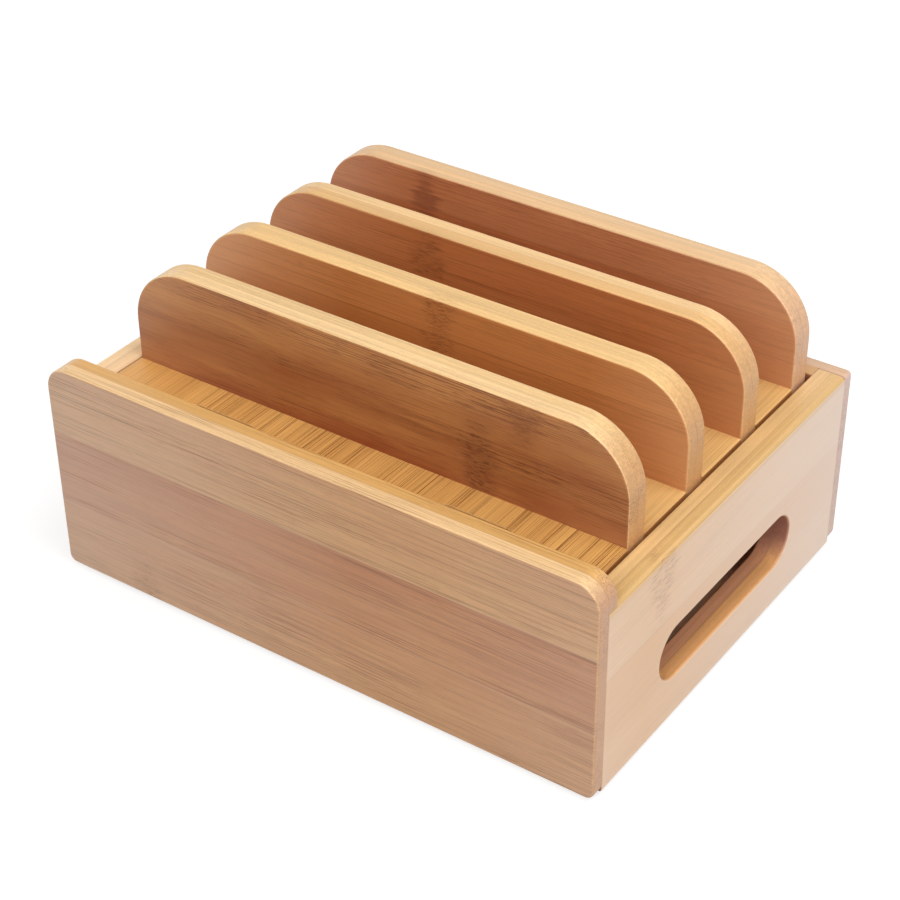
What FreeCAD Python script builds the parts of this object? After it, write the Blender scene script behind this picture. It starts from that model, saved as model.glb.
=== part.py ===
import FreeCAD, Part
import math
import os
from FreeCAD import Placement, Rotation, Vector

# Charging station organizer: a bamboo box that hides a charger, under a lift-out tray of upright dividers.
# Millimetres, +X to the right, +Y to the back, +Z up. The origin is on the table, under the box's middle.

# Bamboo board of two plies, for the walls, the deck and the dividers
board = 12.0
ply_share = 0.5
arris = 1.0
fine_arris = 0.6

# Box
box_width = 255.0
end_height = 82.5
lip_height = 13.5
lip_radius = 10.5
front_bottom_radius = 3.5
back_bottom_radius = 4.5
end_arris = 2.0

# Base panel, let into the walls from below
base_thickness = 6.0
base_clearance = 0.2

# Hand hole in each end panel, also the way in for the charger's lead
hole_length = 102.0
hole_height = 23.6
hole_rise = 19.5

# Rails on the end panels, which carry the tray
rail_width = 10.0
rail_height = 10.0
rail_end_gap = 9.5

# Rubber feet under the base
foot_diameter = 11.0
foot_height = 2.0
foot_inset = 18.0
foot_arris = 0.7

# Tray: loose between the walls and lying a little to the left, with a bay for a device before each divider
side_gap = 1.0
tray_shift = 0.5
end_gap = 2.0
front_bay = 27.0
device_bay = 30.0
divider_count = 4
divider_rise = 45.0
divider_radius = 26.5
dado_depth = 4.0

# Cable slots, two through the deck in each bay
slot_length = 34.0
slot_width = 9.0
slot_land = 4.2
slot_spacing = 118.0

# Countersunk wood screws
divider_screw_head = 7.0
divider_screw_shank = 3.5
divider_screw_length = 25.0
wall_screw_head = 5.0
wall_screw_shank = 2.5
wall_screw_length = 15.0
head_rim = 0.3
screw_room = 0.1

# Places of the screws, as shares of the half-length of what they hold
divider_screw_shares = (-0.7, 0.0, 0.7)
rail_screw_shares = (-0.8, 0.0, 0.8)
base_long_screw_shares = (-0.75, 0.0, 0.75)
base_short_screw_shares = (-0.55, 0.55)

# How far a cut runs past the face that it opens, and how near two places count as the same
overrun = 5.0
same_place = 0.001
full_turn = 360
upward = Vector(0, 0, 1)
rightward = Vector(1, 0, 0)

# Heights
wall_low = foot_height
wall_high = wall_low + end_height
lip_high = wall_high + lip_height
base_high = wall_low + base_thickness
hole_low = wall_low + hole_rise
hole_high = hole_low + hole_height
deck_low = wall_high - board
dado_floor = wall_high - dado_depth
divider_high = wall_high + divider_rise
rail_low = deck_low - rail_height

# Widths, from the middle of the box
rabbet = board * ply_share
outer_x = box_width / 2
inner_x = outer_x - board
rabbet_x = inner_x + rabbet
ledge_x = inner_x + rabbet / 2
rail_x = inner_x - rail_width
deck_x = inner_x - side_gap

# Depths, from the middle of the box: the tray sets them, and the walls stand round it
deck_depth = front_bay + (divider_count - 1) * device_bay + divider_count * board
deck_y = deck_depth / 2
inner_y = deck_y + end_gap
rabbet_y = inner_y + rabbet
ledge_y = inner_y + rabbet / 2
outer_y = inner_y + board
rail_length = 2 * (inner_y - rail_end_gap)
bay_depths = [front_bay] + [device_bay] * (divider_count - 1)
bay_fronts = [-deck_y + sum(bay_depths[:bay]) + bay * board for bay in range(divider_count)]
divider_fronts = [front + depth for front, depth in zip(bay_fronts, bay_depths)]

# The stretches past each end of the inner width, which the end panels take up
end_stretches = ((-outer_x - overrun, -inner_x), (inner_x, outer_x + overrun))


def slab(view, across, up, through, low_radius=0, high_radius=0):
    """A rectangle drawn in one view, with rounded corners, carried along the line of sight."""
    point = {
        "front": lambda u, v, w: Vector(u, w, v),
        "side": lambda u, v, w: Vector(w, u, v),
        "plan": lambda u, v, w: Vector(u, v, w),
    }[view]
    corners = [
        (point(across[0], up[0], through[0]), low_radius),
        (point(across[1], up[0], through[0]), low_radius),
        (point(across[1], up[1], through[0]), high_radius),
        (point(across[0], up[1], through[0]), high_radius),
    ]
    arcs = []
    for index, (corner, radius) in enumerate(corners):
        to_last = (corners[index - 1][0] - corner).normalize()
        to_next = (corners[(index + 1) % len(corners)][0] - corner).normalize()
        middle = corner + (to_last + to_next) * radius * (1 - math.sqrt(0.5))
        arcs.append((corner + to_last * radius, middle, corner + to_next * radius))
    edges = []
    for index, (start, middle, end) in enumerate(arcs):
        if (end - start).Length > same_place:
            edges.append(Part.Arc(start, middle, end).toShape())
        next_start = arcs[(index + 1) % len(arcs)][0]
        if (next_start - end).Length > same_place:
            edges.append(Part.LineSegment(end, next_start).toShape())
    return Part.Face(Part.Wire(edges)).extrude(point(0, 0, through[1] - through[0]))


def lies_in(edge, axis, place):
    """Whether an edge lies wholly in the plane where that axis has that place."""
    low = getattr(edge.BoundBox, axis + "Min")
    high = getattr(edge.BoundBox, axis + "Max")
    return abs(low - place) < same_place and abs(high - place) < same_place


def edges_in(shape, axis, place, second_axis=None, second_place=0):
    """Edges of a shape in one plane or, with a second plane, on the line where the two meet."""
    edges = [edge for edge in shape.Edges if lies_in(edge, axis, place)]
    if second_axis:
        edges = [edge for edge in edges if lies_in(edge, second_axis, second_place)]
    return edges


def rim_of_cuts(shape, axis, place):
    """Edges in that plane that go round cuts inside the face, and not round the border of the piece."""
    whole = shape.BoundBox

    def clear_of_border(edge, letter):
        low = getattr(edge.BoundBox, letter + "Min") - getattr(whole, letter + "Min")
        high = getattr(whole, letter + "Max") - getattr(edge.BoundBox, letter + "Max")
        return min(low, high) > same_place

    letters = [letter for letter in "XYZ" if letter != axis]
    return [
        edge for edge in edges_in(shape, axis, place)
        if all(clear_of_border(edge, letter) for letter in letters)
    ]


def screw_form(head, shank, length, room=0, proud=0):
    """Countersunk screw standing on its head. Room and a proud head widen it into the hole that takes it."""
    head_radius = head / 2 + room
    shank_radius = shank / 2 + room
    outline = [
        Vector(0, 0, -proud),
        Vector(head_radius, 0, -proud),
        Vector(head_radius, 0, head_rim),
        Vector(shank_radius, 0, head_rim + head_radius - shank_radius),
        Vector(shank_radius, 0, length - shank),
        Vector(0, 0, length + room),
    ]
    half_section = Part.Face(Part.makePolygon(outline + outline[:1]))
    return half_section.revolve(Vector(), upward, full_turn)


def screw_group(size, points, direction):
    """Screws with their heads at the points as one group, and the holes that take them as another."""
    groups = []
    for form in (screw_form(*size), screw_form(*size, screw_room, overrun)):
        copies = []
        for point in points:
            copy = form.copy()
            copy.Placement = Placement(point, Rotation(upward, direction))
            copies.append(copy)
        groups.append(Part.makeCompound(copies))
    return groups


def front_panel(base_holes):
    """Tall front board. The rabbets behind its ends stop under the lip, which covers the end panels."""
    panel = slab("front", (-outer_x, outer_x), (wall_low, lip_high), (-outer_y, -inner_y),
                 front_bottom_radius, lip_radius)
    panel = panel.makeFillet(arris, edges_in(panel, "Y", -outer_y) + edges_in(panel, "Y", -inner_y))
    behind = (-rabbet_y, -inner_y + overrun)
    for stretch in end_stretches:
        panel = panel.cut(slab("front", stretch, (wall_low - overrun, wall_high), behind))
    base_rabbet = slab("front", (-outer_x, outer_x), (wall_low - overrun, base_high), behind)
    return panel.cut(base_rabbet).cut(base_holes)


def back_panel(base_holes):
    """Back board, level with the end panels, with rabbets behind its ends over the whole height."""
    panel = slab("front", (-outer_x, outer_x), (wall_low, wall_high), (inner_y, outer_y),
                 back_bottom_radius, end_arris)
    panel = panel.makeFillet(arris, edges_in(panel, "Y", outer_y))
    panel = panel.makeFillet(fine_arris, edges_in(panel, "Y", inner_y, "Z", wall_high))
    behind = (inner_y - overrun, rabbet_y)
    for stretch in end_stretches:
        panel = panel.cut(slab("front", stretch, (wall_low - overrun, wall_high + overrun), behind))
    base_rabbet = slab("front", (-outer_x, outer_x), (wall_low - overrun, base_high), behind)
    return panel.cut(base_rabbet).cut(base_holes)


def right_end_panel(base_holes, rail_holes):
    """End board between the outer plies of the front and the back, with the hand hole."""
    panel = slab("side", (-rabbet_y, rabbet_y), (wall_low, wall_high), (inner_x, outer_x))
    panel = panel.makeFillet(end_arris, edges_in(panel, "X", outer_x, "Z", wall_high))
    panel = panel.makeFillet(arris, edges_in(panel, "X", outer_x, "Z", wall_low))
    panel = panel.makeFillet(fine_arris, edges_in(panel, "X", inner_x, "Z", wall_high))
    hand_hole = slab("side", (-hole_length / 2, hole_length / 2), (hole_low, hole_high),
                     (inner_x - overrun, outer_x + overrun), hole_height / 2, hole_height / 2)
    panel = panel.cut(hand_hole)
    panel = panel.makeFillet(arris, rim_of_cuts(panel, "X", outer_x) + rim_of_cuts(panel, "X", inner_x))
    base_rabbet = slab("side", (-outer_y, outer_y), (wall_low - overrun, base_high),
                       (inner_x - overrun, rabbet_x))
    return panel.cut(base_rabbet).cut(base_holes).cut(rail_holes)


def base_panel(base_holes):
    """Thin board let into the rabbets under the four walls."""
    x = rabbet_x - base_clearance
    y = rabbet_y - base_clearance
    return slab("plan", (-x, x), (-y, y), (wall_low, base_high)).cut(base_holes)


def right_rail(rail_holes):
    """Rail under the edge of the deck, rounded where a hand can reach it."""
    rail = slab("side", (-rail_length / 2, rail_length / 2), (rail_low, deck_low), (rail_x, inner_x))
    free_edges = [edge for edge in edges_in(rail, "X", rail_x) if not lies_in(edge, "Z", deck_low)]
    return rail.makeFillet(arris, free_edges).cut(rail_holes)


def foot(x, y):
    """Stick-on rubber foot under the base panel."""
    disc = Part.makeCylinder(foot_diameter / 2, foot_height, Vector(x, y, 0))
    return disc.makeFillet(foot_arris, edges_in(disc, "Z", 0))


def deck_panel(divider_holes):
    """Board of the tray, with a dado for each divider and two cable slots in each bay."""
    deck = slab("plan", (-deck_x, deck_x), (-deck_y, deck_y), (deck_low, wall_high))
    deck = deck.makeFillet(fine_arris, edges_in(deck, "Z", wall_high) + edges_in(deck, "Z", deck_low))
    for bay_front in bay_fronts:
        slot_front = bay_front + slot_land
        for middle in (-slot_spacing / 2, slot_spacing / 2):
            slot = slab("plan", (middle - slot_length / 2, middle + slot_length / 2),
                        (slot_front, slot_front + slot_width), (deck_low - overrun, wall_high + overrun),
                        slot_width / 2, slot_width / 2)
            deck = deck.cut(slot)
    deck = deck.makeFillet(fine_arris, rim_of_cuts(deck, "Z", wall_high))
    for front in divider_fronts:
        back = front + board
        if front == divider_fronts[-1]:
            back += overrun
        dado = slab("plan", (-deck_x - overrun, deck_x + overrun), (front, back),
                    (dado_floor, wall_high + overrun))
        deck = deck.cut(dado)
    return deck.cut(divider_holes)


def divider(front, divider_holes):
    """Upright board in its dado, with large rounded top corners."""
    upright = slab("front", (-deck_x, deck_x), (dado_floor, divider_high), (front, front + board),
                   0, divider_radius)
    outlines = edges_in(upright, "Y", front) + edges_in(upright, "Y", front + board)
    upright = upright.makeFillet(arris, [edge for edge in outlines if not lies_in(edge, "Z", dado_floor)])
    return upright.cut(divider_holes)


def mirrored(shape):
    return shape.mirror(Vector(), rightward)


divider_screw = (divider_screw_head, divider_screw_shank, divider_screw_length)
wall_screw = (wall_screw_head, wall_screw_shank, wall_screw_length)

base_points = [Vector(share * inner_x, y, wall_low)
               for share in base_long_screw_shares for y in (-ledge_y, ledge_y)]
base_points += [Vector(x, share * inner_y, wall_low)
                for share in base_short_screw_shares for x in (-ledge_x, ledge_x)]
base_screws, base_holes = screw_group(wall_screw, base_points, upward)

rail_points = [Vector(rail_x, share * rail_length / 2, rail_low + rail_height / 2)
               for share in rail_screw_shares]
rail_screws, rail_holes = screw_group(wall_screw, rail_points, rightward)

end_panel = right_end_panel(base_holes, rail_holes)
rail = right_rail(rail_holes)
pieces = {
    "front_panel": front_panel(base_holes),
    "back_panel": back_panel(base_holes),
    "right_end_panel": end_panel,
    "left_end_panel": mirrored(end_panel),
    "base_panel": base_panel(base_holes),
    "base_screws": base_screws,
    "right_rail": rail,
    "left_rail": mirrored(rail),
    "right_rail_screws": rail_screws,
    "left_rail_screws": mirrored(rail_screws),
}

foot_x = outer_x - foot_inset
foot_y = outer_y - foot_inset
for row, y in (("front", -foot_y), ("back", foot_y)):
    for side, x in (("left", -foot_x), ("right", foot_x)):
        pieces["foot_" + row + "_" + side] = foot(x, y)

tray = {}
hole_groups = []
for number, front in enumerate(divider_fronts, 1):
    points = [Vector(share * deck_x, front + board / 2, deck_low) for share in divider_screw_shares]
    screws, holes = screw_group(divider_screw, points, upward)
    hole_groups.append(holes)
    tray["divider_%d" % number] = divider(front, holes)
    tray["divider_%d_screws" % number] = screws
tray["deck_panel"] = deck_panel(Part.makeCompound(hole_groups))
for name, shape in tray.items():
    pieces[name] = shape.translated(Vector(-tray_shift, 0, 0))

os.makedirs("parts", exist_ok=True)
for name, shape in pieces.items():
    shape.exportStep("parts/" + name + ".step")
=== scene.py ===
import math

import bpy
from mathutils import Matrix, Vector


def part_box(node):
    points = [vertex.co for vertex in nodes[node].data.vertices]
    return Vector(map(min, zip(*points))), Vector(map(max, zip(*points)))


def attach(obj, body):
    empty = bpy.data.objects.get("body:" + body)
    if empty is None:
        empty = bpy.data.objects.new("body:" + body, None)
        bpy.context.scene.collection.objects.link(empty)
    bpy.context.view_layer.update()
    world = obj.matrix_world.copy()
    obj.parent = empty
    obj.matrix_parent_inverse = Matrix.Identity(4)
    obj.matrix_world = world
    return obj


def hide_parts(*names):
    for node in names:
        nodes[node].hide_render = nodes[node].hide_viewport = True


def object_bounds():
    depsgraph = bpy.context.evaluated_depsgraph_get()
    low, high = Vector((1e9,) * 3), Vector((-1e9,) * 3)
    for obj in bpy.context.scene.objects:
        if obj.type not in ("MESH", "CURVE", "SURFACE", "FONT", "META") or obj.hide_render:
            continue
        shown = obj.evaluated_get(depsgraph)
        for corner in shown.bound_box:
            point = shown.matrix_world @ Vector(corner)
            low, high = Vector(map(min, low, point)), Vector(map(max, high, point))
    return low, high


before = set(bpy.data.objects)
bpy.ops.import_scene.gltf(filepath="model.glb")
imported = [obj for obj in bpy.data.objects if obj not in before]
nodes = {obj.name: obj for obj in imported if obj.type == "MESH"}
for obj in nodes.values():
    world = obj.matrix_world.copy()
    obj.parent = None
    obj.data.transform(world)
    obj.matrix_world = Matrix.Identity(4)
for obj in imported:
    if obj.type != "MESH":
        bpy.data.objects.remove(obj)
cad_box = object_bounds()

# Charging station organizer of bamboo boards. Metres, +X to the right, +Y to the back, +Z up.
mm = 0.001
X, Y, Z = 0, 1, 2

# Camera of the photograph: where it stands, where it looks, and its lens on a 36 mm wide sensor
camera_place = Vector((0.40932, -0.58578, 0.54372))
camera_azimuth = math.radians(35.043)
camera_drop = math.radians(34.548)
camera_roll = math.radians(-0.510)
camera_lens = 85.49
camera_sensor = 36.0
camera_clip = 0.01

# Studio lamps: name, width, place and power. The room round them gives an even light of its own.
lamps = (
    ("front_lamp", 1.1, Vector((0.05, -1.15, 1.20)), 11.0),
    ("top_lamp", 0.9, Vector((0.65, 0.10, 1.40)), 11.3),
    ("right_card", 0.8, Vector((1.20, -0.70, 0.65)), 8.0),
    ("back_card", 0.7, Vector((-0.10, 1.30, 0.42)), 2.4),
    ("left_card", 0.6, Vector((-1.25, 0.35, 0.42)), 2.4),
)
room_level = 0.23
white = "#FFFFFF"

# Paper floor: how far it reaches, its tone, and its glow near the object and far away
floor_reach = 8.0
paper_tone = "#AAAAAA"
floor_glow = (0.69, 0.92)
floor_glow_reach = (0.8, 5.0)


def linear(code):
    """An sRGB hex code as the linear colour that the shaders take."""
    parts = [int(code[i:i + 2], 16) / 255 for i in (1, 3, 5)]
    return tuple(c / 12.92 if c <= 0.04045 else ((c + 0.055) / 1.055) ** 2.4 for c in parts) + (1.0,)


def feed(tree, made, *feeds, into=None):
    """Gives a node what feeds its open inputs in order, then inputs fed by name."""
    open_inputs = [socket for socket in made.inputs if socket.enabled]
    pairs = list(zip(open_inputs, feeds))
    pairs += [(made.inputs[name], source) for name, source in (into or {}).items()]
    for socket, source in pairs:
        if isinstance(source, bpy.types.Node):
            source = next(output for output in source.outputs if output.enabled)
        if isinstance(source, bpy.types.NodeSocket):
            tree.links.new(source, socket)
        elif source is not None:
            socket.default_value = source


def add(tree, kind, *feeds, into=None, **settings):
    """Adds one node with its settings and what feeds it."""
    made = tree.nodes.new(kind)
    for name, value in settings.items():
        setattr(made, name, value)
    feed(tree, made, *feeds, into=into)
    return made


def new_group(name, kind, inputs, outputs):
    """A node group with named inputs and outputs, and the sockets that give its inputs."""
    tree = bpy.data.node_groups.new(name, kind)
    for way, sockets in (("INPUT", inputs), ("OUTPUT", outputs)):
        for socket, form in sockets.items():
            tree.interface.new_socket(socket, in_out=way, socket_type="NodeSocket" + form)
    return tree, add(tree, "NodeGroupInput").outputs


def new_material(name):
    """An empty material and its tree."""
    material = bpy.data.materials.new(name)
    material.use_nodes = True
    material.node_tree.nodes.clear()
    return material, material.node_tree


# Bamboo lumber: sizes of its marks in millimetres, along the grain, across it and through the board.
# Real fibres are a tenth of a millimetre wide, so they are drawn as bundles that are wide enough to show.
mark_sizes = {
    "cloud": (60.0, 11.0, 11.0),
    "streak": (110.0, 1.3, 1.3),
    "fibre": (45.0, 0.38, 0.38),
    "crowd": (150.0, 12.0, 12.0),
    "tick": (9.0, 0.5, 0.5),
    "dash": (3.2, 0.45, 0.45),
    "grit": (1.5, 0.45, 0.45),
}

# The noise that draws a mark: its fine detail, the level that it swings about, then for each kind of mark
# how high the noise is where the mark begins to show and where it shows in full
mark_detail = 2.0
mark_middle = 0.5
line_ranges = {"fibre": (0.50, 0.64), "tick": (0.55, 0.68)}
crowd_range = (0.40, 0.62)
dash_range = (0.50, 0.58)
speck_range = (0.50, 0.66)
streak_range = (0.3, 0.7)

# Lengths in the lumber in millimetres. Each strip takes its marks from another place of the same cane.
strip_jump = (370.0, 83.0, 59.0)
skin_depth = 0.25
glue_width = 0.35
knuckle_reach = (8.5, 17.0)
warm_reach = 4.5

# Shares: how plies and strips differ, how lines crowd and fade, and how ragged a knuckle is
strip_luck_share = 0.382
ply_luck_share = 0.37
ply_stagger_share = 0.4
ply_glue_share = 0.6
crowd_shares = (0.3, 0.9)
# Where lines fade at the pale side, under painted light
smooth_reach_shares = (0.12, 0.34)
knuckle_ragged_share = 1.8
knuckle_rim_shares = (1.2, 0.5)
grit_shade_share = 0.5
warm_share = 0.6
# How much lines fade where light is painted on a face
lines_fade_in_painted_light = 2.0
cut_lines_share = 0.7
cut_end_facing = (0.35, 0.95)

# Satin lacquer over the bamboo, and how far fibres lie below it in millimetres
lacquer_ior = 1.5
lacquer_roughness = (0.40, 0.52)
lacquer_coat = 0.12
lacquer_coat_roughness = 0.35
fibre_relief = 0.2
fibre_relief_share = 0.25

bamboo_inputs = {
    "Place": "Vector",
    "Cut end": "Float",
    "Half length": "Float",
    "Half thickness": "Float",
    "Strip width": "Float",
    "Strip shift": "Float",
    "Luck": "Float",
    "Fade share": "Float",
    "Fineness": "Vector",
    "Painted light middle": "Float",
    "Painted light from": "Float",
    "Painted light to": "Float",
    "Painted light share": "Float",
    "Pale side": "Float",
    "Deep side": "Float",
    "Side share": "Float",
    "Smooth share": "Float",
    "Butt share": "Float",
    "Joint share": "Float",
    "Pale joint share": "Float",
    "Cloud share": "Float",
    "Streak share": "Float",
    "Edge streak share": "Float",
    "Fibre share": "Float",
    "Tick share": "Float",
    "Edge share": "Float",
    "Speck share": "Float",
    "Knuckle 1": "Vector",
    "Knuckle 2": "Vector",
    "Stain share": "Float",
    "Warm above": "Float",
    "Hole shade below": "Float",
    "Hole shade outer": "Color",
    "Hole shade inner": "Color",
    "Face pale": "Color",
    "Face deep": "Color",
    "Outer ply": "Color",
    "Inner ply": "Color",
    "Cut tone": "Color",
    "Fibre tone": "Color",
    "Painted light tone": "Color",
    "Inside tint": "Color",
}
bamboo_outputs = {"Colour": "Color", "Relief": "Float", "Roughness": "Float"}


def strip_at(tree, given, across, depth):
    """Which ply a place is in, how far across its strip of that ply, and the strip's own luck."""
    ply = add(tree, "ShaderNodeMath", depth, 0.0, operation="GREATER_THAN")
    inner = add(tree, "ShaderNodeMath", 1.0, ply, operation="SUBTRACT")
    rows = add(tree, "ShaderNodeMath", across, given["Strip shift"], operation="SUBTRACT")
    rows = add(tree, "ShaderNodeMath", rows, given["Strip width"], operation="DIVIDE")
    rows = add(tree, "ShaderNodeMath", inner, ply_stagger_share, rows, operation="MULTIPLY_ADD")
    strip = add(tree, "ShaderNodeMath", rows, operation="FLOOR")
    part = add(tree, "ShaderNodeMath", rows, operation="FRACT")
    luck = add(tree, "ShaderNodeMath", strip, strip_luck_share, given["Luck"], operation="MULTIPLY_ADD")
    luck = add(tree, "ShaderNodeMath", inner, ply_luck_share, luck, operation="MULTIPLY_ADD")
    return ply, part, add(tree, "ShaderNodeMath", luck, operation="FRACT")


def drawn_marks(tree, given, luck):
    """The noise of each mark, drawn out along the strip because fibres run the length of it."""
    grain = add(tree, "ShaderNodeVectorMath", luck, strip_jump, given["Place"], operation="MULTIPLY_ADD")
    grain = add(tree, "ShaderNodeVectorMath", grain, given["Fineness"], operation="MULTIPLY")
    marks = {}
    for name, size in mark_sizes.items():
        shares = tuple(1 / length for length in size)
        spot = add(tree, "ShaderNodeVectorMath", grain, shares, operation="MULTIPLY")
        marks[name] = add(tree, "ShaderNodeTexNoise", spot, 1.0, mark_detail).outputs[0]
    return marks


def knuckle_stains(tree, given, marks, ply):
    """Knuckles, where the cane had a joint: ragged stains with short dashes, in the outer ply alone."""
    ragged = add(tree, "ShaderNodeMath", marks["streak"], marks["cloud"], operation="ADD")
    ragged = add(tree, "ShaderNodeMath", ragged, 2 * mark_middle, operation="SUBTRACT")
    dashes = add(tree, "ShaderNodeMapRange", marks["dash"], *dash_range, given["Stain share"], 1.0)
    shares = tuple(1 / length for length in knuckle_reach) + (0.0,)
    stains = []
    for name in ("Knuckle 1", "Knuckle 2"):
        strength = add(tree, "ShaderNodeSeparateXYZ", given[name]).outputs[Z]
        strength = add(tree, "ShaderNodeMath", strength, ply, operation="MULTIPLY")
        off = add(tree, "ShaderNodeVectorMath", given["Place"], given[name], operation="SUBTRACT")
        off = add(tree, "ShaderNodeVectorMath", off, shares, operation="MULTIPLY")
        off = add(tree, "ShaderNodeVectorMath", off, operation="LENGTH").outputs["Value"]
        off = add(tree, "ShaderNodeMath", ragged, knuckle_ragged_share, off, operation="MULTIPLY_ADD")
        stain = add(tree, "ShaderNodeMapRange", off, *knuckle_rim_shares, interpolation_type="SMOOTHSTEP")
        stain = add(tree, "ShaderNodeMath", stain, dashes, operation="MULTIPLY")
        stains.append(add(tree, "ShaderNodeMath", stain, strength, operation="MULTIPLY"))
    return stains


def strip_joint(tree, given, part):
    """One on the glue line between two strips, and zero beside it."""
    aside = add(tree, "ShaderNodeMath", part, 0.5, operation="SUBTRACT")
    aside = add(tree, "ShaderNodeMath", aside, operation="ABSOLUTE")
    aside = add(tree, "ShaderNodeMath", 0.5, aside, operation="SUBTRACT")
    aside = add(tree, "ShaderNodeMath", aside, given["Strip width"], operation="MULTIPLY")
    return add(tree, "ShaderNodeMapRange", aside, glue_width / 2, glue_width, 1.0, 0.0)


def bamboo_lumber():
    """Bamboo at any place in a board: strips and plies of long fibres that end in specks, with knuckles."""
    tree, given = new_group("bamboo_lumber", "ShaderNodeTree", bamboo_inputs, bamboo_outputs)
    along, across, depth = add(tree, "ShaderNodeSeparateXYZ", given["Place"]).outputs
    ply, part, luck = strip_at(tree, given, across, depth)
    marks = drawn_marks(tree, given, luck)
    side = add(tree, "ShaderNodeMapRange", across, given["Pale side"], given["Deep side"])

    # The skin is one on a board's two faces, and zero on its edges and in its holes
    inward = add(tree, "ShaderNodeMath", depth, operation="ABSOLUTE")
    buried = add(tree, "ShaderNodeMath", given["Half thickness"], inward, operation="SUBTRACT")
    skin = add(tree, "ShaderNodeMapRange", buried, skin_depth / 2, skin_depth, 1.0, 0.0)

    # Thin dark fibres, which crowd together in places and thin out at the pale side where light is painted,
    # and shorter ticks
    smooth = add(tree, "ShaderNodeMapRange", side, *smooth_reach_shares, given["Smooth share"], 0.0)
    sparing = add(tree, "ShaderNodeMath", 1.0, smooth, operation="SUBTRACT")
    crowd = add(tree, "ShaderNodeMapRange", marks["crowd"], *crowd_range, *crowd_shares)
    crowd = add(tree, "ShaderNodeMath", crowd, sparing, operation="MULTIPLY")
    lines = []
    for name, reach in line_ranges.items():
        line = add(tree, "ShaderNodeMapRange", marks[name], *reach, interpolation_type="SMOOTHSTEP")
        line = add(tree, "ShaderNodeMath", line, crowd, operation="MULTIPLY")
        lines.append(add(tree, "ShaderNodeMath", line, given[name.title() + " share"], operation="MULTIPLY"))
    lines += knuckle_stains(tree, given, marks, ply)

    # Glue lines between strips on a face, and between plies on an edge, which come and go
    joint = strip_joint(tree, given, part)
    dark_joint = add(tree, "ShaderNodeMath", joint, given["Joint share"], operation="MULTIPLY")
    glue = add(tree, "ShaderNodeMapRange", inward, glue_width / 2, glue_width, ply_glue_share, 0.0)
    seam = add(tree, "ShaderNodeMix", skin, glue, dark_joint)
    lines.append(add(tree, "ShaderNodeMath", seam, crowd, operation="MULTIPLY"))

    # The dark line where a board butts against the next
    ends = add(tree, "ShaderNodeMath", along, operation="ABSOLUTE")
    ends = add(tree, "ShaderNodeMath", given["Half length"], ends, operation="SUBTRACT")
    lines.append(add(tree, "ShaderNodeMapRange", ends, glue_width, glue_width * 2, given["Butt share"], 0.0))

    # Fibres that are cut across show as specks
    specks = add(tree, "ShaderNodeMapRange", marks["grit"], *speck_range, 0.0, given["Speck share"])
    lines.append(add(tree, "ShaderNodeMath", specks, given["Cut end"], operation="MULTIPLY"))

    # The strip's tone on a face, warmer near the top edge of some boards
    cloud = add(tree, "ShaderNodeMath", marks["cloud"], mark_middle, operation="SUBTRACT")
    tone = add(tree, "ShaderNodeMath", part, given["Fade share"], luck, operation="MULTIPLY_ADD")
    tone = add(tree, "ShaderNodeMath", cloud, given["Cloud share"], tone, operation="MULTIPLY_ADD",
               use_clamp=True)
    face = add(tree, "ShaderNodeMix", tone, given["Face pale"], given["Face deep"], data_type="RGBA")
    inside = add(tree, "ShaderNodeVectorMath", face, given["Inside tint"], operation="MULTIPLY")
    face = add(tree, "ShaderNodeMix", ply, inside, face, data_type="RGBA")
    warm = add(tree, "ShaderNodeMath", across, given["Warm above"], operation="SUBTRACT")
    warm = add(tree, "ShaderNodeMapRange", warm, 0.0, warm_reach, 0.0, warm_share)

    # The ply's tone on an edge, with painted shade on the edges of a hole, and another tone on cut ends
    edge = add(tree, "ShaderNodeMix", ply, given["Inner ply"], given["Outer ply"], data_type="RGBA")
    painted_hole_shade = add(tree, "ShaderNodeMix", ply, given["Hole shade inner"], given["Hole shade outer"], data_type="RGBA")
    hole_shade_mask = add(tree, "ShaderNodeMath", across, given["Hole shade below"], operation="LESS_THAN")
    edge = add(tree, "ShaderNodeMix", hole_shade_mask, edge, painted_hole_shade, data_type="RGBA")
    edge = add(tree, "ShaderNodeMix", given["Cut end"], edge, given["Cut tone"], data_type="RGBA")
    face = add(tree, "ShaderNodeMix", warm, face, edge, data_type="RGBA")
    colour = add(tree, "ShaderNodeMix", skin, edge, face, data_type="RGBA")

    # Streaks along the grain, and painted light: a board painted lighter at one side and deeper at the other
    shade = add(tree, "ShaderNodeMath", marks["grit"], grit_shade_share, marks["streak"],
                operation="MULTIPLY_ADD")
    shade = add(tree, "ShaderNodeMath", shade, (1 + grit_shade_share) * mark_middle, operation="SUBTRACT")
    streaky = add(tree, "ShaderNodeMix", skin, given["Edge streak share"], given["Streak share"])
    shade = add(tree, "ShaderNodeMath", shade, streaky, 1.0, operation="MULTIPLY_ADD")
    painted_side_light = add(tree, "ShaderNodeMath", 0.5, side, operation="SUBTRACT")
    shade = add(tree, "ShaderNodeMath", painted_side_light, given["Side share"], shade, operation="MULTIPLY_ADD")
    colour = add(tree, "ShaderNodeVectorMath", colour, into={"Scale": shade}, operation="SCALE")
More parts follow.
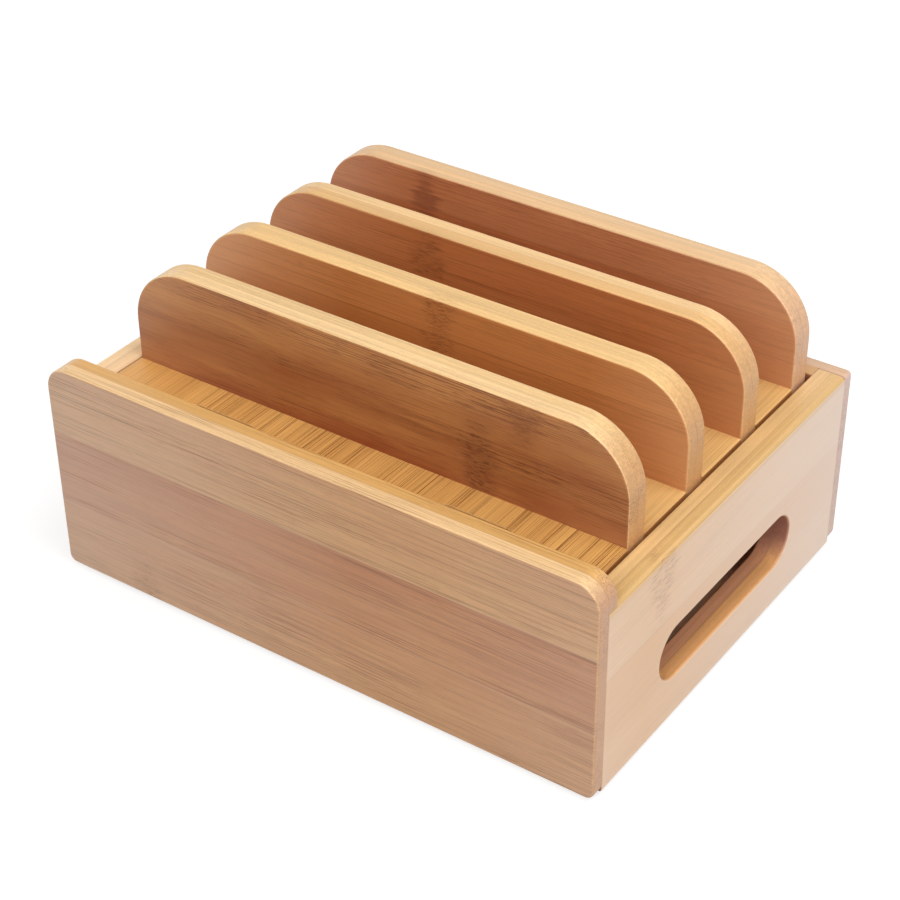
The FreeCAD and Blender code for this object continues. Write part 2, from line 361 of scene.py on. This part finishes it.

    # Painted light: faces are painted lighter away from a middle, but not near a warm edge, and some glue
    # lines are pale
    painted_light_and_pale_glue = add(tree, "ShaderNodeMath", along, given["Painted light middle"], operation="SUBTRACT")
    painted_light_and_pale_glue = add(tree, "ShaderNodeMath", painted_light_and_pale_glue, operation="ABSOLUTE")
    painted_light_and_pale_glue = add(tree, "ShaderNodeMapRange", painted_light_and_pale_glue, given["Painted light from"], given["Painted light to"], 0.0,
                 given["Painted light share"])
    cold = add(tree, "ShaderNodeMath", warm_share, warm, operation="SUBTRACT")
    cold = add(tree, "ShaderNodeMath", cold, warm_share, operation="DIVIDE")
    cold = add(tree, "ShaderNodeMath", cold, skin, operation="MULTIPLY")
    painted_light_and_pale_glue = add(tree, "ShaderNodeMath", painted_light_and_pale_glue, cold, operation="MULTIPLY")
    sparse = add(tree, "ShaderNodeMath", 1.0, crowd, operation="SUBTRACT")
    sparse = add(tree, "ShaderNodeMath", sparse, skin, operation="MULTIPLY")
    sparse = add(tree, "ShaderNodeMath", sparse, given["Pale joint share"], operation="MULTIPLY")
    painted_light_and_pale_glue = add(tree, "ShaderNodeMath", joint, sparse, painted_light_and_pale_glue, operation="MULTIPLY_ADD")
    colour = add(tree, "ShaderNodeMix", painted_light_and_pale_glue, colour, given["Painted light tone"], data_type="RGBA")

    # The strongest line at each place is drawn, fainter where light is painted on the face
    line = lines[0]
    for other in lines[1:]:
        line = add(tree, "ShaderNodeMath", line, other, operation="MAXIMUM")
    faint = add(tree, "ShaderNodeMath", painted_light_and_pale_glue, -lines_fade_in_painted_light, 1.0, operation="MULTIPLY_ADD")
    weight = add(tree, "ShaderNodeMix", given["Cut end"], given["Edge share"], cut_lines_share)
    weight = add(tree, "ShaderNodeMix", skin, weight, faint)
    line = add(tree, "ShaderNodeMath", line, weight, operation="MULTIPLY", use_clamp=True)
    colour = add(tree, "ShaderNodeMix", line, colour, given["Fibre tone"], data_type="RGBA")
    relief = add(tree, "ShaderNodeMath", 1.0, line, operation="SUBTRACT")
    roughness = add(tree, "ShaderNodeMapRange", marks["streak"], *streak_range, *lacquer_roughness)
    add(tree, "NodeGroupOutput", colour, relief, roughness)
    return tree


lumber = bamboo_lumber()


def bamboo_board(board, grain, through, outward, look, marks):
    """Lacquered bamboo, planed and sanded: a soft satin sheen over long pale fibres that follow the board."""
    material, tree = new_material("lacquered_bamboo_" + board)
    low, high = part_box(board)
    middle = (low + high) / 2
    half = (high - low) / mm / 2
    across = ({X, Y, Z} - {grain, through}).pop()

    # The place in the board in millimetres from its middle: along the grain, across it and out through it
    spot = add(tree, "ShaderNodeTexCoord").outputs
    turns = [1 / mm, 1 / mm, 1 / mm]
    turns[through] *= outward
    shift = [-middle[axis] * turns[axis] for axis in (X, Y, Z)]
    inside = add(tree, "ShaderNodeMapping", spot["Object"], shift, None, turns)
    sides = add(tree, "ShaderNodeSeparateXYZ", inside).outputs
    inside = add(tree, "ShaderNodeCombineXYZ", sides[grain], sides[across], sides[through])
    facing = add(tree, "ShaderNodeSeparateXYZ", spot["Normal"]).outputs[grain]
    facing = add(tree, "ShaderNodeMath", facing, operation="ABSOLUTE")
    cut_end = add(tree, "ShaderNodeMapRange", facing, *cut_end_facing)

    feeds = {"Place": inside, "Cut end": cut_end, "Half length": half[grain], "Half thickness": half[through]}
    for name, value in {**look, **marks}.items():
        feeds[name] = linear(value) if isinstance(value, str) else value
    wood = add(tree, "ShaderNodeGroup", into=feeds, node_tree=lumber)
    bump = add(tree, "ShaderNodeBump", into={
        "Strength": fibre_relief_share, "Distance": fibre_relief * mm, "Height": wood.outputs["Relief"],
    })
    shader = add(tree, "ShaderNodeBsdfPrincipled", into={
        "Base Color": wood.outputs["Colour"],
        "Roughness": wood.outputs["Roughness"],
        "Normal": bump,
        "IOR": lacquer_ior,
        "Coat Weight": lacquer_coat,
        "Coat Roughness": lacquer_coat_roughness,
    })
    add(tree, "ShaderNodeOutputMaterial", shader)
    nodes[board].data.materials.clear()
    nodes[board].data.materials.append(material)


# The looks of the boards: strong or faint marks, and the colours of faces, plies, cut ends and fibres.
# Boards are painted lighter away from a middle, as painted light and sheen, and the edges of a hole are
# painted deeper, as painted shade.
wall_look = {
    "Strip width": 29.0, "Strip shift": 17.0, "Fade share": 0.25, "Fineness": (1.0, 1.0, 1.0),
    "Cloud share": 0.75, "Streak share": 0.32, "Edge streak share": 0.4, "Fibre share": 0.85,
    "Tick share": 0.4, "Edge share": 0.65, "Speck share": 0.2, "Stain share": 0.3,
    "Painted light middle": 40.0, "Painted light from": 20.0, "Painted light to": 160.0, "Painted light share": 0.2,
    "Joint share": 0.45, "Pale joint share": 0.25, "Warm above": 200.0, "Hole shade below": -200.0,
    "Face pale": "#D3A474", "Face deep": "#BD825A", "Cut tone": "#CC9D79", "Fibre tone": "#80502F",
    "Painted light tone": "#FBEFE8", "Inside tint": "#D8B694",
}
end_look = {
    **wall_look, "Strip shift": 11.0, "Cloud share": 0.7, "Streak share": 0.15, "Edge streak share": 0.45,
    "Fibre share": 0.13, "Tick share": 0.1, "Edge share": 1.4, "Stain share": 0.15,
    "Painted light middle": -60.0, "Painted light from": 0.0, "Painted light to": 150.0, "Painted light share": 0.42,
    "Butt share": 0.6, "Joint share": 0.2, "Pale joint share": 0.2, "Warm above": 37.0,
    # Painted shade in the hand hole: edges below this height are deeper
    "Hole shade below": 10.0, "Hole shade outer": "#D99E65", "Hole shade inner": "#CD916C",
    "Face pale": "#ECCAA9", "Face deep": "#E5BB94", "Outer ply": "#D3AA6D", "Inner ply": "#DAB177",
    "Cut tone": "#A7715F", "Fibre tone": "#A07250", "Inside tint": "#C09468",
}
divider_look = {
    **wall_look, "Strip width": 28.0, "Strip shift": 7.5, "Cloud share": 1.2, "Streak share": 0.25,
    "Edge streak share": 0.55, "Fibre share": 0.45, "Edge share": 0.3, "Speck share": 0.4,
    "Painted light middle": 15.0, "Painted light from": 55.0, "Painted light to": 130.0, "Painted light share": 0.22,
    "Joint share": 0.4, "Pale joint share": 0.0, "Cut tone": "#D19E69", "Fibre tone": "#6E3A1C",
    "Painted light tone": "#FFCF9E", "Inside tint": "#FFFFFF",
}
deck_look = {
    **wall_look, "Strip width": 17.0, "Strip shift": 4.0, "Fineness": (0.5, 1.5, 1.5),
    "Cloud share": 0.4, "Streak share": 0.3, "Fibre share": 1.6, "Tick share": 0.2,
    # Painted light: the deck is painted lighter and smoother towards its left side
    "Pale side": -114.0, "Deep side": 114.0, "Side share": 0.1, "Smooth share": 0.5,
    # Painted light: the deck is painted lighter away from its front bay
    "Painted light middle": -62.0, "Painted light from": 10.0, "Painted light to": 30.0, "Painted light share": 0.36,
    "Joint share": 0.1, "Pale joint share": 0.05,
    "Face pale": "#E8B164", "Face deep": "#E0A75C", "Outer ply": "#C08448", "Inner ply": "#A8662F",
    "Cut tone": "#CFA064", "Fibre tone": "#7C4410", "Painted light tone": "#FFDA98", "Inside tint": "#FFFFFF",
}

# Each board: the axis of its grain, the axis through it, which way its outer ply faces, look and own marks.
# A knuckle is given by its place along and across the board, and how strongly it shows.
boards = {
    "front_panel": (X, Y, -1, wall_look, {
        "Luck": 0.10, "Strip width": 33.0, "Knuckle 1": (-84.0, -48.0, 0.6),
        "Outer ply": "#E7BF8A", "Inner ply": "#D8A55F"}),
    "back_panel": (X, Y, 1, wall_look, {
        "Luck": 0.45, "Knuckle 1": (46.0, 4.0, 0.5),
        "Outer ply": "#D3AD8A", "Inner ply": "#C9985D", "Cut tone": "#DDBDB0"}),
    "right_end_panel": (Y, X, 1, end_look, {"Luck": 0.30, "Knuckle 1": (-52.0, 28.0, 0.5)}),
    "left_end_panel": (Y, X, -1, end_look, {
        "Luck": 0.80, "Knuckle 1": (38.0, -24.0, 0.4), "Edge share": 0.5,
        "Outer ply": "#FBD6A4", "Inner ply": "#FAD2A0"}),
    "divider_1": (X, Y, -1, divider_look, {
        "Luck": 0.98, "Strip width": 64.0, "Strip shift": -36.0, "Fade share": -0.95, "Cloud share": 1.5,
        "Fibre share": 1.0, "Tick share": 0.8, "Edge share": 0.2, "Speck share": 0.2, "Stain share": 0.35,
        "Knuckle 1": (50.5, -6.0, 0.85), "Knuckle 2": (69.5, 19.0, 0.55), "Painted light share": 0.18,
        "Face pale": "#BE8047", "Face deep": "#8A411C", "Outer ply": "#EBC48C", "Inner ply": "#E3BC82",
        "Fibre tone": "#66301A"}),
    "divider_2": (X, Y, -1, divider_look, {
        "Luck": 0.25, "Strip shift": 8.6, "Joint share": 0.6, "Edge share": 0.4, "Stain share": 0.25,
        "Knuckle 1": (3.5, 17.0, 0.6), "Painted light share": 0.38,
        "Face pale": "#C57F45", "Face deep": "#C27A40", "Outer ply": "#EABE7E", "Inner ply": "#E2B87A"}),
    "divider_3": (X, Y, -1, divider_look, {
        "Luck": 0.55, "Knuckle 1": (-30.5, 9.0, 0.6), "Fibre share": 0.5, "Cut tone": "#D8A671",
        "Face pale": "#B87441", "Face deep": "#B06637", "Outer ply": "#DFB072", "Inner ply": "#E8BF86"}),
    "divider_4": (X, Y, -1, divider_look, {
        "Luck": 0.35, "Stain share": 0.75, "Knuckle 1": (-62.0, 15.0, 0.6),
        "Painted light middle": -13.0, "Painted light to": 150.0, "Painted light share": 0.32,
        "Face pale": "#C07E53", "Face deep": "#B86F43", "Outer ply": "#E3B885", "Inner ply": "#DDB688",
        "Cut tone": "#DCAF89", "Fibre tone": "#6A2E22"}),
    "deck_panel": (Y, Z, 1, deck_look, {"Luck": 0.20}),
    "base_panel": (X, Z, 1, deck_look, {
        "Luck": 0.60, "Fibre share": 0.4, "Painted light share": 0.0,
        "Face pale": "#EED3BA", "Face deep": "#E0BC9A"}),
    "right_rail": (Y, X, -1, deck_look, {"Luck": 0.40}),
    "left_rail": (Y, X, 1, deck_look, {"Luck": 0.90}),
}
for board, (grain, through, outward, look, marks) in boards.items():
    bamboo_board(board, grain, through, outward, look, marks)

# Screws and feet, in millimetres. Screws are countersunk, and the shares are of the lengths that they follow.
wall_screw = {"Head diameter": 5.0, "Shank diameter": 2.5, "Length": 15.0, "Head rim": 0.3, "Pitch": 1.1}
divider_screw = {"Head diameter": 7.0, "Shank diameter": 3.5, "Length": 25.0, "Head rim": 0.3, "Pitch": 1.6}
screw_size_names = tuple(wall_screw)
base_long_screw_shares = (-0.75, 0.0, 0.75)
base_short_screw_shares = (-0.55, 0.55)
rail_screw_shares = (-0.8, 0.0, 0.8)
divider_screw_shares = (-0.7, 0.0, 0.7)
divider_numbers = (1, 2, 3, 4)
head_bevel_share = 0.5
bare_shank_share = 0.35
core_share = 0.68
thread_flank = (0.25, 0.47)
recess_shares = (0.56, 0.15, 0.44)
recess_draw_share = 0.9
screw_head_rows = 6
thread_rows = 72
foot_size = {"Diameter": 11.0, "Height": 2.0, "Arris": 0.7, "Dish": 0.4}
foot_size_names = tuple(foot_size)
foot_ring_shares = (0.6, 0.68)
foot_rim_steps = 4
turned_sides = 32
seam_reach = 1e-6
crisp_angle = math.radians(35)
spin_seed = 4

# Zinc on the steel: its clouds and grain in millimetres, drawn coarser than they are so that they show
zinc_cloud = 1.6
zinc_cloud_detail = 3.0
zinc_cloud_range = (0.35, 0.65)
zinc_bright = "#D2D1CB"
zinc_dull = "#B4B7BA"
zinc_roughness = (0.26, 0.42)
zinc_grain = 0.12
zinc_grain_detail = 1.0
zinc_relief_share = 0.15

# Rubber: its dust and grain in millimetres, drawn coarser than they are so that they show
rubber_dust = 2.2
rubber_dust_detail = 3.0
rubber_dust_range = (0.4, 0.7)
rubber_black = "#1E1E20"
rubber_dusty = "#2E2C2B"
rubber_roughness = (0.68, 0.85)
rubber_ior = 1.52
rubber_grain = 0.25
rubber_grain_detail = 2.0
rubber_relief_share = 0.3


def grit_spot(tree, size):
    """The place on a piece in steps of a grain size in millimetres."""
    spot = add(tree, "ShaderNodeTexCoord").outputs["Object"]
    return add(tree, "ShaderNodeVectorMath", spot, into={"Scale": 1 / (size * mm)}, operation="SCALE")


def zinc_plated_steel():
    """Cold-forged steel with bright zinc on it: a cool grey shine, clouded where the zinc has dulled."""
    material, tree = new_material("zinc_plated_cold_forged_steel")
    cloud = add(tree, "ShaderNodeTexNoise", grit_spot(tree, zinc_cloud), 1.0, zinc_cloud_detail).outputs[0]
    colour = add(tree, "ShaderNodeMapRange", cloud, *zinc_cloud_range)
    colour = add(tree, "ShaderNodeMix", colour, linear(zinc_bright), linear(zinc_dull), data_type="RGBA")
    roughness = add(tree, "ShaderNodeMapRange", cloud, *zinc_cloud_range, *zinc_roughness)
    grain = add(tree, "ShaderNodeTexNoise", grit_spot(tree, zinc_grain), 1.0, zinc_grain_detail).outputs[0]
    bump = add(tree, "ShaderNodeBump", into={
        "Strength": zinc_relief_share, "Distance": zinc_grain * mm, "Height": grain,
    })
    shader = add(tree, "ShaderNodeBsdfPrincipled", into={
        "Base Color": colour, "Metallic": 1.0, "Roughness": roughness, "Normal": bump,
    })
    add(tree, "ShaderNodeOutputMaterial", shader)
    return material


def moulded_rubber():
    """Black rubber from a mould: dull, faintly grainy, and a little paler where it has taken up dust."""
    material, tree = new_material("moulded_rubber")
    dust = add(tree, "ShaderNodeTexNoise", grit_spot(tree, rubber_dust), 1.0, rubber_dust_detail).outputs[0]
    colour = add(tree, "ShaderNodeMapRange", dust, *rubber_dust_range)
    colour = add(tree, "ShaderNodeMix", colour, linear(rubber_black), linear(rubber_dusty), data_type="RGBA")
    roughness = add(tree, "ShaderNodeMapRange", dust, *rubber_dust_range, *rubber_roughness)
    spot = grit_spot(tree, rubber_grain)
    grain = add(tree, "ShaderNodeTexNoise", spot, 1.0, rubber_grain_detail).outputs[0]
    bump = add(tree, "ShaderNodeBump", into={
        "Strength": rubber_relief_share, "Distance": rubber_grain * mm, "Height": grain,
    })
    shader = add(tree, "ShaderNodeBsdfPrincipled", into={
        "Base Color": colour, "Roughness": roughness, "Normal": bump, "IOR": rubber_ior,
    })
    add(tree, "ShaderNodeOutputMaterial", shader)
    return material


def turning_sheet(tree, rows):
    """A sheet to wrap about an axis, with the row of each of its points and its share of a full turn."""
    sheet = add(tree, "GeometryNodeMeshGrid", 1.0, 1.0, turned_sides + 1, rows)
    index = add(tree, "GeometryNodeInputIndex")
    row = add(tree, "ShaderNodeMath", index, rows, operation="MODULO")
    turn = add(tree, "ShaderNodeMath", index, row, operation="SUBTRACT")
    turn = add(tree, "ShaderNodeMath", turn, rows * turned_sides, operation="DIVIDE")
    return sheet, row, turn


def outline_point(tree, row, points):
    """The point of an outline at a row, with its radius as X and its height as Z."""
    choice = add(tree, "GeometryNodeIndexSwitch", data_type="VECTOR")
    while len(choice.index_switch_items) < len(points):
        choice.index_switch_items.new()
    places = [add(tree, "ShaderNodeCombineXYZ", radius, None, height) for radius, height in points]
    feed(tree, choice, row, *places)
    return choice


def wrapped(tree, sheet, point, turn):
    """The sheet wrapped about the axis, closed along its seam and at its poles."""
    angle = add(tree, "ShaderNodeMath", turn, math.tau, operation="MULTIPLY")
    point = add(tree, "ShaderNodeVectorRotate", point, None, angle, rotation_type="Z_AXIS")
    form = add(tree, "GeometryNodeSetPosition", sheet, None, point)
    return add(tree, "GeometryNodeMergeByDistance", form, None, seam_reach)


def set_out(tree, form, given):
    """A copy of the form at each place, facing its way, with crisp edges where its faces turn sharply."""
    bend = add(tree, "GeometryNodeInputMeshEdgeAngle").outputs["Unsigned Angle"]
    crisp = add(tree, "ShaderNodeMath", bend, crisp_angle, operation="GREATER_THAN")
    form = add(tree, "GeometryNodeSetShadeSmooth", form, crisp, False, domain="EDGE")
    facing = add(tree, "GeometryNodeInputNamedAttribute", "facing", data_type="FLOAT_VECTOR")
    aim = add(tree, "FunctionNodeAlignRotationToVector", None, None, facing, axis="Z")
    spin = add(tree, "FunctionNodeRandomValue", 0.0, math.tau, None, spin_seed, data_type="FLOAT")
    spin = add(tree, "FunctionNodeAxisAngleToRotation", (0.0, 0.0, 1.0), spin)
    aim = add(tree, "FunctionNodeRotateRotation", aim, spin, rotation_space="LOCAL")
    copies = add(tree, "GeometryNodeInstanceOnPoints", given["Places"],
                 into={"Instance": form, "Rotation": aim})
    pieces = add(tree, "GeometryNodeRealizeInstances", copies)
    pieces = add(tree, "GeometryNodeSetMaterial", pieces, None, given["Material"])
    add(tree, "NodeGroupOutput", pieces)


def new_pieces(name, sizes):
    """A tree that takes places, sizes and a material, and gives pieces."""
    inputs = {"Places": "Geometry", **{size: "Float" for size in sizes}, "Material": "Material"}
    return new_group(name, "GeometryNodeTree", inputs, {"Pieces": "Geometry"})


def cross_recess(tree, form, head):
    """The head with a cross recess for the driver, sunk into it and narrower at its floor."""
    size = add(tree, "ShaderNodeVectorMath", recess_shares, into={"Scale": head}, operation="SCALE")
    bar = add(tree, "GeometryNodeMeshCube", size)
    spot = add(tree, "GeometryNodeInputPosition")
    sink = add(tree, "ShaderNodeVectorMath", spot, size, operation="DIVIDE")
    sink = add(tree, "ShaderNodeSeparateXYZ", sink).outputs[Z]
    narrow = add(tree, "ShaderNodeMath", sink, -recess_draw_share, 1.0, operation="MULTIPLY_ADD")
    narrow = add(tree, "ShaderNodeCombineXYZ", narrow, narrow, 1.0)
    bar = add(tree, "GeometryNodeSetPosition", bar, None,
              add(tree, "ShaderNodeVectorMath", spot, narrow, operation="MULTIPLY"))
    for quarter in (0.0, math.tau / 4):
        turned_bar = add(tree, "GeometryNodeTransform", bar, None, (0.0, 0.0, quarter))
        form = add(tree, "GeometryNodeMeshBoolean", form, turned_bar, operation="DIFFERENCE", solver="EXACT")
    return form


def countersunk_screw():
    """Wood screw standing on its head: flat head, cone, bare shank, then a thread that ends in a point."""
    tree, given = new_pieces("countersunk_screw", screw_size_names)
    head, shank, length, rim, pitch = [given[size] for size in screw_size_names]
    sheet, row, turn = turning_sheet(tree, screw_head_rows + thread_rows)
    wide = add(tree, "ShaderNodeMath", head, 0.5, operation="MULTIPLY")
    slim = add(tree, "ShaderNodeMath", shank, 0.5, operation="MULTIPLY")
    bevel = add(tree, "ShaderNodeMath", rim, head_bevel_share, operation="MULTIPLY")
    inside = add(tree, "ShaderNodeMath", wide, bevel, operation="SUBTRACT")
    neck = add(tree, "ShaderNodeMath", wide, slim, operation="SUBTRACT")
    neck = add(tree, "ShaderNodeMath", neck, rim, operation="ADD")
    start = add(tree, "ShaderNodeMath", length, bare_shank_share, operation="MULTIPLY")
    head_point = outline_point(tree, row, [
        (0.0, 0.0), (inside, 0.0), (wide, bevel), (wide, rim), (slim, neck), (slim, start)])

    # The thread climbs one pitch in a turn, and shrinks with the point of the screw
    last = screw_head_rows + thread_rows - 1
    height = add(tree, "ShaderNodeMapRange", row, screw_head_rows - 1, last, start, length)
    climb = add(tree, "ShaderNodeMath", height, pitch, operation="DIVIDE")
    climb = add(tree, "ShaderNodeMath", climb, turn, operation="SUBTRACT")
    ridge = add(tree, "ShaderNodeMath", climb, 0.5, operation="PINGPONG")
    radius = add(tree, "ShaderNodeMapRange", ridge, *thread_flank, core_share, 1.0)
    left = add(tree, "ShaderNodeMath", length, height, operation="SUBTRACT")
    left = add(tree, "ShaderNodeMath", left, shank, operation="DIVIDE", use_clamp=True)
    radius = add(tree, "ShaderNodeMath", radius, left, operation="MULTIPLY")
    radius = add(tree, "ShaderNodeMath", radius, slim, operation="MULTIPLY")
    thread_point = add(tree, "ShaderNodeCombineXYZ", radius, None, height)
    threaded = add(tree, "ShaderNodeMath", row, screw_head_rows - 0.5, operation="GREATER_THAN")
    point = add(tree, "ShaderNodeMix", threaded, head_point, thread_point, data_type="VECTOR")
    set_out(tree, cross_recess(tree, wrapped(tree, sheet, point, turn), head), given)
    return tree


def rubber_foot():
    """Stick-on foot: a dished underside in the ring that it stands on, a rounded rim and a straight side."""
    tree, given = new_pieces("rubber_foot", foot_size_names)
    diameter, height, arris, dish = [given[size] for size in foot_size_names]
    wide = add(tree, "ShaderNodeMath", diameter, 0.5, operation="MULTIPLY")
    inside = add(tree, "ShaderNodeMath", wide, arris, operation="SUBTRACT")
    points = [(0.0, dish)]
    for share, level in zip(foot_ring_shares, (dish, 0.0)):
        points.append((add(tree, "ShaderNodeMath", wide, share, operation="MULTIPLY"), level))
    for step in range(foot_rim_steps + 1):
        angle = math.tau / 4 * step / foot_rim_steps
        points.append((add(tree, "ShaderNodeMath", arris, math.sin(angle), inside, operation="MULTIPLY_ADD"),
                       add(tree, "ShaderNodeMath", arris, 1 - math.cos(angle), operation="MULTIPLY")))
    points += [(wide, height), (0.0, height)]
    sheet, row, turn = turning_sheet(tree, len(points))
    set_out(tree, wrapped(tree, sheet, outline_point(tree, row, points), turn), given)
    return tree


def grown(name, tree, places, sizes, material):
    """The plain mesh that a tree grows at its places, each a point and the way that the piece faces there."""
    mesh = bpy.data.meshes.new(name)
    mesh.from_pydata([point for point, facing in places], [], [])
    ways = mesh.attributes.new("facing", "FLOAT_VECTOR", "POINT")
    for way, (point, facing) in zip(ways.data, places):
        way.vector = facing
    piece = bpy.data.objects.new(name, mesh)
    bpy.context.scene.collection.objects.link(piece)
    grower = piece.modifiers.new(name, "NODES")
    grower.node_group = tree
    values = {**{size: length * mm for size, length in sizes.items()}, "Material": material}
    for socket in tree.interface.items_tree:
        if socket.name in values:
            grower[socket.identifier] = values[socket.name]
    finished = bpy.data.meshes.new_from_object(piece.evaluated_get(bpy.context.evaluated_depsgraph_get()))
    piece.modifiers.clear()
    piece.data = finished
    bpy.data.meshes.remove(mesh)
    finished.name = name
    return piece


def middle_of(node):
    """The middle of a node's box and its half-lengths."""
    low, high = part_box(node)
    return (low + high) / 2, (high - low) / 2


def base_places():
    """Screws up through the edges of the base panel into the four walls."""
    half = middle_of("base_screws")[1]
    ledge = half - Vector((1, 1, 0)) * wall_screw["Head diameter"] / 2 * mm
    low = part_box("base_panel")[0].z
    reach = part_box("right_rail")[1].x
    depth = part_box("back_panel")[0].y
    spots = [(share * reach, side * ledge.y) for share in base_long_screw_shares for side in (-1, 1)]
    spots += [(side * ledge.x, share * depth) for share in base_short_screw_shares for side in (-1, 1)]
    return [((x, y, low), (0, 0, 1)) for x, y in spots]


def rail_places():
    """Screws out through the two rails into the end panels."""
    places = []
    for rail, side in (("left_rail", -1), ("right_rail", 1)):
        middle, half = middle_of(rail)
        for share in rail_screw_shares:
            places.append(((middle.x - side * half.x, middle.y + share * half.y, middle.z), (side, 0, 0)))
    return places


def divider_places():
    """Screws up through the deck into the feet of the dividers."""
    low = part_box("deck_panel")[0].z
    places = []
    for number in divider_numbers:
        middle, half = middle_of("divider_%d" % number)
        places += [((middle.x + share * half.x, middle.y, low), (0, 0, 1)) for share in divider_screw_shares]
    return places


def foot_places(feet):
    """Feet under the corners of the base."""
    return [((*middle_of(foot)[0].xy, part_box(foot)[0].z), (0, 0, 1)) for foot in feet]


zinc = zinc_plated_steel()
screw = countersunk_screw()
feet = ["foot_%s_%s" % (row, side) for row in ("front", "back") for side in ("left", "right")]
wall_screws = grown("wall_screws", screw, base_places() + rail_places(), wall_screw, zinc)
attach(wall_screws, "box")
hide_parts("base_screws", "right_rail_screws", "left_rail_screws")
divider_screws = grown("divider_screws", screw, divider_places(), divider_screw, zinc)
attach(divider_screws, "tray")
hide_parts(*["divider_%d_screws" % number for number in divider_numbers])
rubber_feet = grown("rubber_feet", rubber_foot(), foot_places(feet), foot_size, moulded_rubber())
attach(rubber_feet, "box")
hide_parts(*feet)


def seen_directly(tree):
    """One where the camera, a reflection or clear matter sees the surface, and zero for scattered light."""
    seen = add(tree, "ShaderNodeLightPath").outputs
    direct = add(tree, "ShaderNodeMath", seen["Is Camera Ray"], seen["Is Glossy Ray"], operation="MAXIMUM")
    return add(tree, "ShaderNodeMath", direct, seen["Is Transmission Ray"], operation="MAXIMUM")


def paper_floor():
    """Matt white paper that looks white from above, keeps the object's shadow, and is clear from below."""
    paper, tree = new_material("white_paper_floor")
    matt = add(tree, "ShaderNodeBsdfDiffuse", linear(paper_tone))
    away = add(tree, "ShaderNodeTexCoord").outputs["Object"]
    away = add(tree, "ShaderNodeVectorMath", away, operation="LENGTH").outputs["Value"]
    glow = add(tree, "ShaderNodeMapRange", away, *floor_glow_reach, *floor_glow)
    glow = add(tree, "ShaderNodeMath", seen_directly(tree), glow, operation="MULTIPLY")
    glow = add(tree, "ShaderNodeEmission", linear(white), glow)
    both = add(tree, "ShaderNodeAddShader", matt, glow)
    behind = add(tree, "ShaderNodeNewGeometry").outputs["Backfacing"]
    clear = add(tree, "ShaderNodeBsdfTransparent")
    add(tree, "ShaderNodeOutputMaterial", add(tree, "ShaderNodeMixShader", behind, both, clear))
    mesh = bpy.data.meshes.new("floor")
    corners = [(x, y, 0) for x, y in ((-1, -1), (1, -1), (1, 1), (-1, 1))]
    mesh.from_pydata([Vector(corner) * floor_reach for corner in corners], [], [(0, 1, 2, 3)])
    mesh.materials.append(paper)
    floor = bpy.data.objects.new("floor", mesh)
    bpy.context.scene.collection.objects.link(floor)


def white_room():
    """An even light from all round, which looks white where it is seen directly."""
    room = bpy.data.worlds.new("white_room")
    bpy.context.scene.world = room
    room.use_nodes = True
    tree = room.node_tree
    tree.nodes.clear()
    level = add(tree, "ShaderNodeMapRange", seen_directly(tree), 0.0, 1.0, room_level, 1.0)
    light = add(tree, "ShaderNodeBackground", linear(white), level)
    add(tree, "ShaderNodeOutputWorld", light)


def soft_lamps():
    """Wide lamps and cards, turned to the middle of the object."""
    target = (cad_box[0] + cad_box[1]) / 2
    for name, width, place, power in lamps:
        lamp = bpy.data.lights.new(name, "AREA")
        lamp.size = width
        lamp.energy = power
        holder = bpy.data.objects.new(name, lamp)
        holder.location = place
        holder.rotation_euler = (target - place).to_track_quat("-Z", "Y").to_euler()
        bpy.context.scene.collection.objects.link(holder)


def photograph_camera():
    """Camera at the photograph's place, turn and lens."""
    ahead = Vector((-math.sin(camera_azimuth) * math.cos(camera_drop),
                    math.cos(camera_azimuth) * math.cos(camera_drop), -math.sin(camera_drop)))
    level = Vector((math.cos(camera_azimuth), math.sin(camera_azimuth), 0))
    upright = level.cross(ahead)
    right = math.cos(camera_roll) * level + math.sin(camera_roll) * upright
    up = math.cos(camera_roll) * upright - math.sin(camera_roll) * level
    lens = bpy.data.cameras.new("photograph_camera")
    lens.sensor_fit = "HORIZONTAL"
    lens.sensor_width = camera_sensor
    lens.lens = camera_lens
    lens.clip_start = camera_clip
    camera = bpy.data.objects.new("photograph_camera", lens)
    turn = Matrix((right, up, -ahead)).transposed()
    camera.matrix_world = Matrix.Translation(camera_place) @ turn.to_4x4()
    bpy.context.scene.collection.objects.link(camera)
    bpy.context.scene.camera = camera


bpy.context.scene.view_settings.view_transform = "Standard"
paper_floor()
white_room()
soft_lamps()
photograph_camera()
